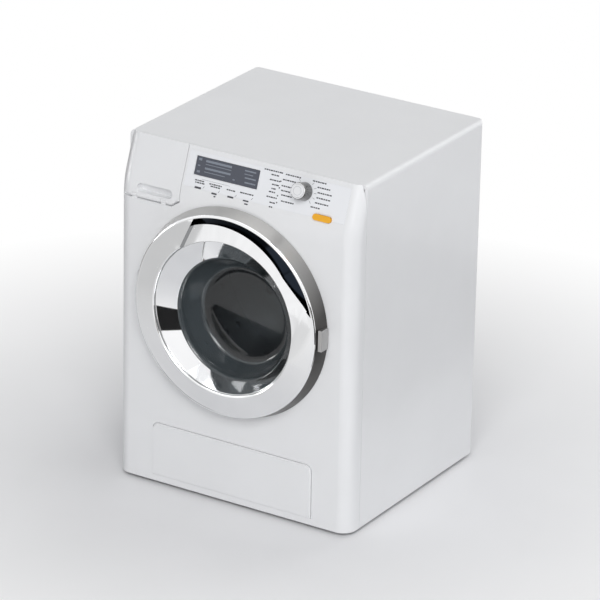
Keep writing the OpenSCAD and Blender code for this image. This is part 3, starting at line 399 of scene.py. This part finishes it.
def cut(target, tool, operation="DIFFERENCE"):
    """Cuts a piece by a tool, which is used up; cut faces take the tool's material."""
    m = target.modifiers.new("cut", "BOOLEAN")
    m.operation = operation
    m.solver = "EXACT"
    m.material_mode = "TRANSFER"
    m.object = tool
    apply_modifiers(target)
    bpy.data.objects.remove(tool)


def half_plane(points, x0, y0, turn):
    """Keeps the part of an outline to the right of a line through (x0, y0) turned from upright."""
    nx, ny = math.cos(turn), math.sin(turn)
    side = [(px - x0) * nx - (py - y0) * ny for px, py in points]
    kept = []
    for i, (p, s) in enumerate(zip(points, side)):
        q, t = points[(i + 1) % len(points)], side[(i + 1) % len(points)]
        if s >= 0:
            kept.append(p)
        if s * t < 0:
            f = s / (s - t)
            kept.append((p[0] + (q[0] - p[0]) * f, p[1] + (q[1] - p[1]) * f))
    return kept


# The crease: a slanted wall through a point near the rim, that ends the grip and the sunk band on the left
CREASE_X, CREASE_UP, CREASE_TURN = -24.6, RIM_R - 5.3, math.radians(22.6)
CREASE_FALL, CREASE_SLANT = math.radians(-8.1), math.radians(52)
# The sunk band runs out to the ring's own face on a slightly tilted plane
BAND_DROP, RUNOUT_Y, RUNOUT_TILT = 1.9, -8.0, math.radians(-5.5)
FACE_RISE = (PROJ - RIM_H) / (RIM_R - EYE_R - 2 * EDGE_R)
# The grip: its inner circle, the chord at its right end, and the rim it leaves
GRIP_IN, GRIP_IN_R = (-3.3, 4.4), EYE_R + 5.8
CHORD_AT, CHORD_TURN = math.radians(35.8), math.radians(46.4)
GRIP_RIM, GRIP_START = 1.6, math.radians(125)
HINGE_NOTCH = ((-77.2, -15.2), (-67.8, -15.2), (-67.8, 15.2), (-77.2, 15.2))


def grip_outline(grow):
    """Crescent between the ring's rim, a smaller circle and a chord, ended by the crease."""
    r1, r2 = RIM_R - GRIP_RIM + grow * 0.3, GRIP_IN_R - grow
    corner = (GRIP_IN[0] + GRIP_IN_R * math.cos(CHORD_AT), GRIP_IN[1] + GRIP_IN_R * math.sin(CHORD_AT))
    inward = (-math.sin(CHORD_TURN), -math.cos(CHORD_TURN))
    along = (math.cos(CHORD_TURN), -math.sin(CHORD_TURN))
    start = (corner[0] + inward[0] * grow, corner[1] + inward[1] * grow)
    dot = start[0] * along[0] + start[1] * along[1]
    reach = -dot + math.sqrt(dot * dot - start[0] ** 2 - start[1] ** 2 + r1 * r1)
    tip = (start[0] + along[0] * reach, start[1] + along[1] * reach)
    outer = sweep(0.0, 0.0, r1, math.atan2(tip[1], tip[0]), GRIP_START, 120)
    inner = sweep(*GRIP_IN, r2, GRIP_START, math.atan2(start[1] - GRIP_IN[1], start[0] - GRIP_IN[0]), 96)
    straight = [(start[0] + along[0] * reach * i / 12, start[1] + along[1] * reach * i / 12)
                for i in range(1, 12)]
    return half_plane(outer + inner + straight, CREASE_X - grow, CREASE_UP, CREASE_TURN)


def band_tool(name, mats, crease_shade_mats):
    """The space above the sunk band: before a cone, right of the crease and above the run-out."""
    big = 150.0

    def slab(tag, lo, hi, turn, spot, mats):
        x, y, z = zip(lo, hi)
        corners = [turn @ Vector((x[i], y[j], z[k])) + Vector(spot)
                   for i in (0, 1) for j in (0, 1) for k in (0, 1)]
        verts = [(p.x, FRONT_Y + p.z, DOOR_Z - p.y) for p in corners]
        faces = [(0, 1, 3, 2), (4, 6, 7, 5), (0, 4, 5, 1), (2, 3, 7, 6), (0, 2, 6, 4), (1, 5, 7, 3)]
        return add_object(name + tag, mesh_from(name + tag, verts, faces, False), mats, None)

    low = -PROJ + BAND_DROP
    outer = RIM_R - 4
    section = [(EYE_R - 2, -PROJ - 1), (outer, -PROJ - 1),
               (outer, low + FACE_RISE * (outer - EYE_R - EDGE_R)), (EYE_R - 2, low - FACE_RISE * (2 + EDGE_R))]
    tool = lathe(name, section, mats, None)
    crease = (Matrix.Rotation(CREASE_TURN, 4, "Z") @ Matrix.Rotation(CREASE_FALL, 4, "X")
              @ Matrix.Rotation(CREASE_SLANT, 4, "Y"))
    crease_spot = (CREASE_X, -CREASE_UP, -RIM_H + 0.2)
    # The crease wall's faces take the darker chrome with painted shade.
    cut(tool, slab("_crease", (0, -big, -big), (200, big, big), crease, crease_spot, crease_shade_mats), "INTERSECT")
    runout = Matrix.Rotation(RUNOUT_TILT, 4, "X")
    runout_spot = (0, RUNOUT_Y, -RIM_H - 0.5)
    cut(tool, slab("_runout", (-big, -big, -30), (big, big, 0), runout, runout_spot, mats), "INTERSECT")
    return tool


def finish_edges(obj, width, angle=30, segments=3):
    """Rounds the edges of a new piece for good."""
    soften(obj, width, segments, angle)
    apply_modifiers(obj)


def make_ring():
    """The door's ring: a hollow lathe form with the grip, the sunk band and the hinge notch cut in it."""
    chrome = [MATS["chrome_ring"]]
    section = ([(RING_R, RING_FOOT)] + arc(RIM_R - EDGE_R + 0.1, -RIM_H + EDGE_R, EDGE_R, -8, -100, 12)
               + arc(EYE_R + EDGE_R, -PROJ + EDGE_R, EDGE_R, -100, -200, 12)
               + [(EYE_R + EDGE_R + 1.6, -PROJ + EDGE_R + 2.4),
                  (RIM_R - EDGE_R - RING_WALL, -RIM_H + EDGE_R + RING_WALL),
                  (RING_R - RING_WALL - 0.6, -2.6), (RING_R - RING_WALL, RING_FOOT)])
    ring = lathe("ring_face", section, chrome, "door")
    pocket = outline_prism("pocket", grip_outline(1.4), -RIM_H + 0.6, -RIM_H + GRIP_DEPTH + 1.6, chrome)
    cut(ring, pocket, "UNION")
    # The grip's cut faces take the near-black chrome with painted shade.
    cut(ring, outline_prism("grip", grip_outline(0), -PROJ - 1, -RIM_H + GRIP_DEPTH, [RECESS]))
    cut(ring, band_tool("band", chrome, [CREASE]))
    cut(ring, outline_prism("notch", HINGE_NOTCH, -7.8, 3.0, chrome))
    finish_edges(ring, 0.3)
    # Faces on the ring's side wall take the metal with painted shade.
    side = len(ring.data.materials)
    ring.data.materials.append(SIDE_WALL_PAINTED_SHADE)
    for p in ring.data.polygons:
        depth = p.center.y / MM - FRONT_Y
        radius = math.hypot(p.center.x, p.center.z - DOOR_Z * MM) / MM
        if depth > -RIM_H + EDGE_R - 0.2 and radius > RIM_R - 0.7:
            p.material_index = side
    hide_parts("door_ring")


def make_funnel():
    """The chrome funnel from the eye down to the lower-set bowl."""
    front, back = -PROJ + EDGE_R + 0.4, BOWL_SEAT
    rows = [(EYE_R - 0.5, front, 0), (EYE_R - 0.1, front - 0.02, 0), (EYE_R, front + 0.3, 0),
            (BOWL_R + 1.9, back, BOWL_DROP), (BOWL_R, back, BOWL_DROP)]
    mesh = mesh_from("eye_funnel", *loft([circle_at(*row, RING_STEPS) for row in rows]))
    funnel = add_object("eye_funnel", mesh, [MATS["chrome_ring"]], "door")
    finish_edges(funnel, 0.15)
    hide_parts("door_funnel")


def make_bowl():
    """Smoked bowl: flange, slanted wall, rounded corner and flat bottom, as one even sheet."""
    corner, widen = 4.0, 1.55

    def ring_at(radius, depth):
        drop = BOWL_DROP + BOTTOM_DROP * max(0.0, min(1.0, depth / BOWL_DEPTH))
        return circle_at(radius, depth, drop)

    def skin(t):
        wall = [(BOWL_R - 0.6 + t, BOWL_SEAT + 0.2), (BOWL_R - 1.6 + t, 2.0), (BOWL_R - 3.0 + t, 5.5),
                (BOWL_R - 5.0 + t * 0.9, 9.2)]
        angles = [math.radians(x) for x in range(12, 91, 13)]
        return wall + [(BOWL_BOTTOM_R + 0.6 + corner * math.cos(a) * widen,
                        BOWL_DEPTH + t - corner + corner * math.sin(a)) for a in angles]

    flange = [(BOWL_R + 2.3, BOWL_SEAT + BOWL_WALL_T), (BOWL_R + 2.3, BOWL_SEAT + 0.15)]
    bottom = (BOWL_BOTTOM_R - 1, 14.0, 0.02)
    rows = [ring_at(r, d) for r, d in flange + skin(0.0)]
    rows += [ring_at(r, BOWL_DEPTH) for r in bottom]
    rows += [ring_at(r, BOWL_DEPTH + BOWL_WALL_T) for r in reversed(bottom)]
    rows += [ring_at(r, d) for r, d in reversed(skin(BOWL_WALL_T))]
    mats = [MATS["smoked_glass"], BOWL_WALL]
    bowl = add_object("bowl_glass", mesh_from("bowl_glass", *loft(rows)), mats, "door")
    # Faces in front of the bottom take the darker wall copy of the smoked glass: painted shade.
    for face in bowl.data.polygons:
        face.material_index = int(face.center.y < (FRONT_Y + BOWL_DEPTH - 1.2) * MM)
    finish_edges(bowl, 0, 50)
    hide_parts("door_bowl")


make_ring()
make_funnel()
make_bowl()
frame["nodes"]["door_tab"].data.materials[0] = TAB_PLATE


# ---------- printed marks ----------

def on_fascia(x, v, w):
    """The point x across, v up the slope and w off its surface."""
    return (x, FRONT_Y + ARC_BACK + v * math.sin(LEAN) - w * math.cos(LEAN),
            SLOPE_Z + v * math.cos(LEAN) + w * math.sin(LEAN))


def add_plate(store, corners, w):
    """A thin raised plate on four (x, v) corners, its foot sunk a little."""
    verts, faces = store
    n = len(verts)
    for z in (w - INK_SUNK, w + INK_PROUD):
        verts += [on_fascia(x, v, z) for x, v in corners]
    faces += [tuple(n + i for i in f) for f in BOX_FACES]


def add_bar(store, x0, x1, v, h, w, slant=0.0):
    """A thin raised bar; slant shifts its right end up the slope."""
    low, high = v - h / 2, v + h / 2
    add_plate(store, ((x0, low), (x1, low + slant), (x1, high + slant), (x0, high)), w)


def add_words(store, x0, x1, v, h, w):
    """A row of short plain bars with even gaps, in place of a line of print."""
    lengths, gap = (1.5, 0.9, 1.9, 1.2), 0.36
    x, i = x0, int(abs(v) * 10) % 4
    while x1 - x > 0.8:
        end = min(x + lengths[i % 4], x1)
        if x1 - end < 0.9:
            end = x1
        add_bar(store, x, end, v, h, w)
        x, i = end + gap, i + 1


FILM_W, GLASS_W = 0.23, 0.2  # surfaces of the label and of the display, off the slope
INK_SUNK, INK_PROUD = 0.02, 0.03
WORD_H, DOT, TICK_H, TICK_RISE = 0.85, 0.9, 0.4, 1.5
# (x0, x1, v) of each word
WORDS = ((-34.2, -27.2, 4.4), (-33.8, -26.6, 2.9), (-22.9, -12.2, 4.0), (-21.6, -14.2, 2.6), (-9.0, -1.4, 3.1),
         (1.4, 12.7, 3.4), (16.0, 30.4, 22.3), (32.6, 45.4, 22.1), (22.0, 27.8, 19.8), (21.5, 29.4, 16.4),
         (23.8, 29.1, 13.6), (24.1, 27.3, 10.9), (22.6, 27.4, 8.6), (21.6, 29.6, 5.2), (24.7, 28.9, 1.8),
         (24.9, 27.5, -1.1), (31.2, 41.2, 18.4), (31.1, 39.7, 14.3), (31.5, 38.4, 11.2), (32.2, 40.4, 8.3),
         (33.0, 43.6, 4.4), (53.4, 64.8, 22.2), (57.8, 68.4, 18.8), (58.6, 69.4, 15.4), (58.6, 69.0, 12.0),
         (58.2, 68.4, 8.6), (55.6, 62.6, 5.4))
# (x0, x1, v, height) of each bar that stands for a symbol
SYMBOLS = ((-33.5, -28.5, -0.4, 1.3), (-19.9, -15.9, -1.8, 1.0), (-17.8, -16.5, -3.5, 0.8),
           (-7.5, -2.9, -1.3, 1.1), (4.7, 9.0, -1.3, 0.9), (6.2, 8.8, -3.3, 0.8))
TICKS = ((-27.2, -26.2, -0.2), (-15.1, -14.1, -0.6), (-1.9, -0.8, -0.5), (10.6, 11.9, 0.2))
DOTS = ((29.9, 16.8), (29.8, 12.4), (29.7, 7.1), (30.1, 2.6))
# (x0, x1, v, height) of each line on the display
GLYPHS = ((-28.7, -8.5, 18.1, 1.5), (-28.7, -8.5, 15.9, 0.45), (-28.7, -8.5, 13.2, 1.3),
          (-28.7, -12.5, 10.8, 0.45), (-34.4, -32.0, 18.4, 1.6), (-34.4, -32.6, 14.2, 0.8),
          (-34.4, -32.0, 10.2, 1.4), (1.8, 10.4, 18.1, 0.9), (1.8, 8.6, 15.8, 0.5), (2.6, 11.2, 13.4, 0.9),
          (3.2, 11.6, 10.4, 0.9), (-6.2, -4.6, 10.3, 0.8))
# Lines about the knob: their angles, ends and half width
DIAL_ANGLES = (25, 2, -22, -48, 50, 128, 153, 178, 203, 228)
DIAL_IN, DIAL_OUT, DIAL_HALF = 7.2, 9.2, 0.13
KNOB_RING = (2.75, 3.05)


def make_prints():
    """Plain bars in the places of the printed words, symbols and display lines."""
    ink, fine, glyphs = ([], []), ([], []), ([], [])
    for x0, x1, v in WORDS:
        add_words(ink, x0, x1, v, WORD_H, FILM_W)
    for x0, x1, v, h in SYMBOLS:
        add_bar(ink, x0, x1, v, h, FILM_W)
    for x0, x1, v in TICKS:
        add_bar(ink, x0, x1, v, TICK_H, FILM_W, slant=TICK_RISE)
    for x, v in DOTS:
        add_bar(ink, x - DOT / 2, x + DOT / 2, v, DOT, FILM_W)
    add_bar(fine, -29.5, -7.2, 5.6, 0.16, FILM_W)
    for degrees in DIAL_ANGLES:
        a = math.radians(degrees)
        across, upward = math.cos(a), math.sin(a)
        ends = ((DIAL_IN, -1), (DIAL_OUT, -1), (DIAL_OUT, 1), (DIAL_IN, 1))
        add_plate(fine, [(KNOB_X + across * reach - upward * side * DIAL_HALF,
                          MID_V + upward * reach + across * side * DIAL_HALF) for reach, side in ends], FILM_W)
    for x0, x1, v, h in GLYPHS:
        add_bar(glyphs, x0, x1, v, h, GLASS_W)
    for name, store, mat, slot in (("fascia_print", ink, PRINT, "label_film"),
                                   ("fascia_lines", fine, PRINT_SOFT, "label_film"),
                                   ("display_glyphs", glyphs, GLYPH, "display_glass")):
        add_object(name, mesh_from(name, *store, False), [mat], "cabinet")


def make_knob_ring():
    """A fine raised ring on the knob's white cap."""
    rim = []
    top = KNOB_FOOT + KNOB_H + 0.02
    low, (r0, r1) = top - 0.03, KNOB_RING
    for r, w in ((r0, low), (r1, low), (r1, top), (r0, top)):
        rim.append([on_fascia(KNOB_X + r * math.cos(t), MID_V + r * math.sin(t), w)
                    for t in (2 * math.pi * i / 64 for i in range(64))])
    add_object("knob_ring", mesh_from("knob_ring", *loft(rim)), [PRINT_PALE], "knob")


make_prints()
make_knob_ring()


# ---------- camera ----------

def make_camera():
    """The camera fitted to the photograph: its angles, its focal length in pixels and its distance in units."""
    azimuth, elevation, roll = (math.radians(a) for a in (31.937, 22.6585, 1.1265))
    focal_px, frame_px = 4422.06, 600
    unit = 0.22
    across, upward, away = 0.6794, 0.5706, 13.7375
    corner = Vector((-0.106, -0.10025, -0.002))
    level = math.cos(elevation)
    back = Vector((math.sin(azimuth) * level, -math.cos(azimuth) * level, math.sin(elevation)))
    right = Vector((math.cos(azimuth), math.sin(azimuth), 0.0))
    up = back.cross(right)
    side = right * math.cos(roll) + up * math.sin(roll)
    top = up * math.cos(roll) - right * math.sin(roll)
    camera = bpy.data.objects.new("camera", bpy.data.cameras.new("camera"))
    camera.data.sensor_width = 36.0
    camera.data.lens = 36.0 * focal_px / frame_px
    camera.data.clip_start, camera.data.clip_end = 0.05, 50.0
    turn = Matrix((side, top, back)).transposed().to_4x4()
    spot = corner + unit * (across * side + upward * top + away * back)
    camera.matrix_world = Matrix.Translation(spot) @ turn
    bpy.context.scene.collection.objects.link(camera)
    bpy.context.scene.camera = camera


make_camera()


# ---------- stage ----------

def seen_directly(g):
    """1 for camera, glossy and transmission rays, so that mirrors and glass show the same white."""
    path = g.add("LightPath")
    total = path.outputs["Is Camera Ray"]
    for name in ("Is Glossy Ray", "Is Transmission Ray"):
        most = g.add("Math", operation="MAXIMUM")
        g.put(most.inputs[0], total)
        g.put(most.inputs[1], path.outputs[name])
        total = most.outputs[0]
    return total


FLOOR_HALF, FLOOR_FADE = 6.0, (0.13, 0.46)


def card(name, corners, color, glow=0.0):
    """A flag or board that only mirrors see, given by its corners in metres."""
    mat, g = new_material(name)
    weave = g.noise(40.0, 3.0, 0.5)
    tone = g.blend(weave, shade(color, 0.8), shade(color, 1.2))
    if glow:
        shader = g.add("Emission", Color=tone, Strength=glow)
    else:
        shader = g.surface(tone, 0.9)
    g.finish(shader)
    mat.cycles.emission_sampling = "NONE"
    mesh = bpy.data.meshes.new(name)
    mesh.from_pydata(corners, [], [tuple(range(len(corners)))])
    obj = add_object(name, mesh, [mat], None)
    obj.visible_camera = obj.visible_diffuse = obj.visible_shadow = False
    obj.visible_transmission = obj.visible_volume_scatter = False


def make_floor():
    """A pale floor that keeps the shadow near the part and fades to white for direct rays."""
    mat, g = new_material("pale_floor")
    grain = g.noise(6.0, 3.0, 0.5)
    tone = g.blend(g.drift(grain, 0.0, 1.0), (0.86, 0.86, 0.87), (0.9, 0.9, 0.91))
    floor_bsdf = g.surface(tone, 0.8)
    floor_bsdf.inputs["Specular IOR Level"].default_value = 0.0
    glow = g.add("Emission", Color=(1.0, 1.0, 1.0))
    mirrored = g.span(g.add("SeparateXYZ", Vector=g.place()).outputs["X"], 0.6, 0.9, -0.42, 0.05)
    strength = g.add("Math", operation="MAXIMUM")
    g.put(strength.inputs[0], g.add("LightPath").outputs["Is Camera Ray"])
    g.put(strength.inputs[1], mirrored)
    g.put(glow.inputs["Strength"], strength.outputs[0])
    far = g.add("VectorMath", operation="LENGTH")
    g.put(far.inputs[0], g.place())
    fade = g.span(far.outputs["Value"], 0.0, 1.0, *FLOOR_FADE)
    factor = g.add("Math", operation="MULTIPLY")
    g.put(factor.inputs[0], fade)
    g.put(factor.inputs[1], seen_directly(g))
    mix = g.add("MixShader")
    g.put(mix.inputs[0], factor.outputs[0])
    g.tree.links.new(floor_bsdf.outputs[0], mix.inputs[1])
    g.tree.links.new(glow.outputs[0], mix.inputs[2])
    g.finish(mix)
    mat.cycles.emission_sampling = "NONE"
    half = FLOOR_HALF
    mesh = bpy.data.meshes.new("floor")
    corners = [(-half, -half, 0), (half, -half, 0), (half, half, 0), (-half, half, 0)]
    mesh.from_pydata(corners, [], [(0, 1, 2, 3)])
    add_object("floor", mesh, [mat], None)


def make_world():
    """Soft light, stronger from the right, that direct rays see as white."""
    world = bpy.data.worlds.new("studio")
    bpy.context.scene.world = world
    world.use_nodes = True
    world.node_tree.nodes.clear()
    g = Graph(world.node_tree)
    side = g.add("SeparateXYZ", Vector=g.add("TexCoord").outputs["Generated"]).outputs["X"]
    soft = g.add("Background", Color=(0.96, 0.975, 1.0), Strength=g.span(side, 0.12, 0.5, -0.9, 0.6))
    seen_white = g.add("Background", Color=(1.0, 1.0, 1.0), Strength=1.0)
    mix = g.add("MixShader")
    g.put(mix.inputs[0], seen_directly(g))
    g.tree.links.new(soft.outputs[0], mix.inputs[1])
    g.tree.links.new(seen_white.outputs[0], mix.inputs[2])
    out = world.node_tree.nodes.new("ShaderNodeOutputWorld")
    world.node_tree.links.new(mix.outputs[0], out.inputs[0])


def upright(x0, y0, x1, y1, low, high):
    """Corners of an upright rectangle over a line on the floor."""
    return ((x0, y0, low), (x1, y1, low), (x1, y1, high), (x0, y0, high))


def lamp(name, spot, target, size, power):
    """A soft white area lamp at a spot in metres, turned to its target."""
    light = bpy.data.lights.new(name, "AREA")
    light.shape = "RECTANGLE"
    light.size, light.size_y = size
    light.energy = power
    obj = bpy.data.objects.new(name, light)
    obj.location = spot
    obj.rotation_mode = "QUATERNION"
    obj.rotation_quaternion = (Vector(target) - Vector(spot)).to_track_quat("-Z", "Y")
    bpy.context.scene.collection.objects.link(obj)


make_floor()
make_world()
BLACK, BROWN, GREY, BRIGHT = (0.004, 0.004, 0.0045), (0.1, 0.07, 0.045), (0.06, 0.058, 0.055), (1.0, 1.0, 1.0)
card("flag_side", upright(0.256, -0.281, 0.314, -0.089, 0.025, 0.195), BLACK)
card("flag_front", upright(0.24, -0.97, 0.58, -0.81, 0.01, 0.21), BROWN)
card("flag_low", ((-0.2, -0.325, 0.003), (-0.11, -0.3, 0.003), (-0.09, -0.2, 0.003), (-0.15, -0.2, 0.003)),
     BLACK)
card("flag_right", ((0.18, -0.1, 0.004), (0.58, -0.1, 0.004), (0.58, 0.4, 0.004), (0.18, 0.4, 0.004)), GREY)
card("flag_left", upright(-0.62, -0.12, -0.86, 0.7, 0.002, 0.3), BROWN)
card("band_board", ((-0.593, -0.62, 0.07), (-0.3, -0.62, 0.005), (0.095, -0.62, 0.005), (0.095, -0.62, 0.305),
                    (-0.22, -0.62, 0.305)), BRIGHT, 1.05)
card("edge_board", upright(-1.15, -0.36, -0.95, -0.74, 0.13, 0.31), BRIGHT, 8.0)
lamp("key", (0.9, -1.6, 1.4), (0, 0, 0.12), (1.2, 1.0), 24)
lamp("left_fill", (-1.6, 0.9, 0.9), (0, 0, 0.12), (1.0, 1.2), 4)
lamp("top", (0.0, 0.3, 2.0), (0, 0, 0.1), (1.4, 1.4), 1.2)
lamp("back_fill", (0.4, 1.8, 1.0), (0, 0, 0.12), (1.2, 1.0), 7)
bpy.context.scene.view_settings.view_transform = "Standard"
